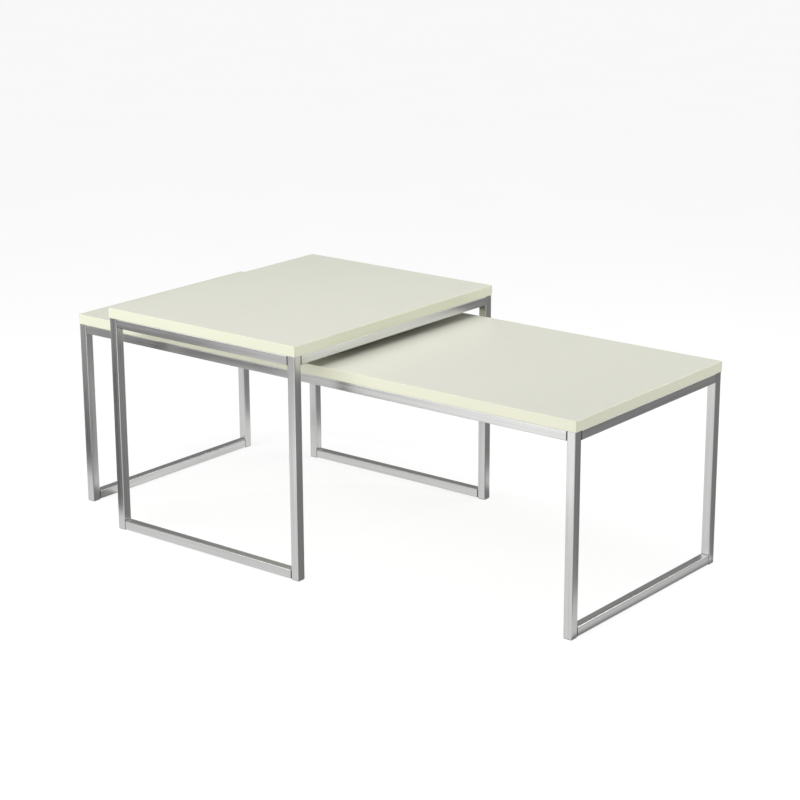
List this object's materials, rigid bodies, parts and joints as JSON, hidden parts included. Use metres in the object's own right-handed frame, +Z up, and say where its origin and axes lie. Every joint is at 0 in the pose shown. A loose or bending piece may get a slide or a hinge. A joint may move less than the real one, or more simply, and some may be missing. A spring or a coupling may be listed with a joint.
{
  "type": "nesting tables",
  "caption": "Nest of rectangular tables on square steel frames: a tall side table standing over a long low table that slides through its open ends.",
  "frame": {"origin": "on the floor, midway along the low table and across the tall table, with the low table drawn out as at rest", "axes": "+X along the low table, the way it draws out; +Y from the front to the back; +Z up from the floor"},
  "size_m": [1.2, 0.6, 0.45],
  "materials": {
    "cream_laminate": "satin cream laminate face",
    "cream_edge_band": "satin cream edge band, a shade yellower than the face",
    "backing_sheet": "plain matt backing laminate",
    "board_core": "raw particle board",
    "satin_steel": "satin, brushed along each tube",
    "plain_steel": "plain drawn steel",
    "dark_nylon": "moulded, matt",
    "grey_nylon": "moulded, matt",
    "zinc_steel": "bright zinc plate",
    "insert_brass": "turned brass"
  },
  "bodies": {
    "tall_table": {"tall_top_board": "board_core", "tall_top_laminate": "cream_laminate", "tall_backing_laminate": "backing_sheet", "tall_rail_spigots": "plain_steel", "tall_seam_washers": "dark_nylon", "tall_set_screws": "zinc_steel", "tall_top_screws": "zinc_steel", "tall_top_inserts": "insert_brass", "tall_edge_band_front": "cream_edge_band", "tall_edge_band_back": "cream_edge_band", "tall_edge_band_left": "cream_edge_band", "tall_edge_band_right": "cream_edge_band", "tall_rail_front": "satin_steel", "tall_rail_back": "satin_steel", "tall_rail_left": "satin_steel", "tall_rail_right": "satin_steel", "tall_foot_rail_front": "satin_steel", "tall_foot_rail_back": "satin_steel", "tall_leg_front_left": "satin_steel", "tall_leg_front_right": "satin_steel", "tall_leg_back_left": "satin_steel", "tall_leg_back_right": "satin_steel", "tall_glide_front_left": "grey_nylon", "tall_glide_front_right": "grey_nylon", "tall_glide_back_left": "grey_nylon", "tall_glide_back_right": "grey_nylon"},
    "low_table": {"low_top_board": "board_core", "low_top_laminate": "cream_laminate", "low_backing_laminate": "backing_sheet", "low_rail_spigots": "plain_steel", "low_seam_washers": "dark_nylon", "low_set_screws": "zinc_steel", "low_top_screws": "zinc_steel", "low_top_inserts": "insert_brass", "low_edge_band_front": "cream_edge_band", "low_edge_band_back": "cream_edge_band", "low_edge_band_left": "cream_edge_band", "low_edge_band_right": "cream_edge_band", "low_rail_front": "satin_steel", "low_rail_back": "satin_steel", "low_rail_left": "satin_steel", "low_rail_right": "satin_steel", "low_foot_rail_left": "satin_steel", "low_foot_rail_right": "satin_steel", "low_leg_front_left": "satin_steel", "low_leg_front_right": "satin_steel", "low_leg_back_left": "satin_steel", "low_leg_back_right": "satin_steel", "low_glide_front_left": "grey_nylon", "low_glide_front_right": "grey_nylon", "low_glide_back_left": "grey_nylon", "low_glide_back_right": "grey_nylon"}
  },
  "joints": [
    {"name": "low_table_slide", "type": "slide", "parent": "tall_table", "child": "low_table", "axis": [1, 0, 0], "range_m": [-0.5525, 0.66]}
  ]
}
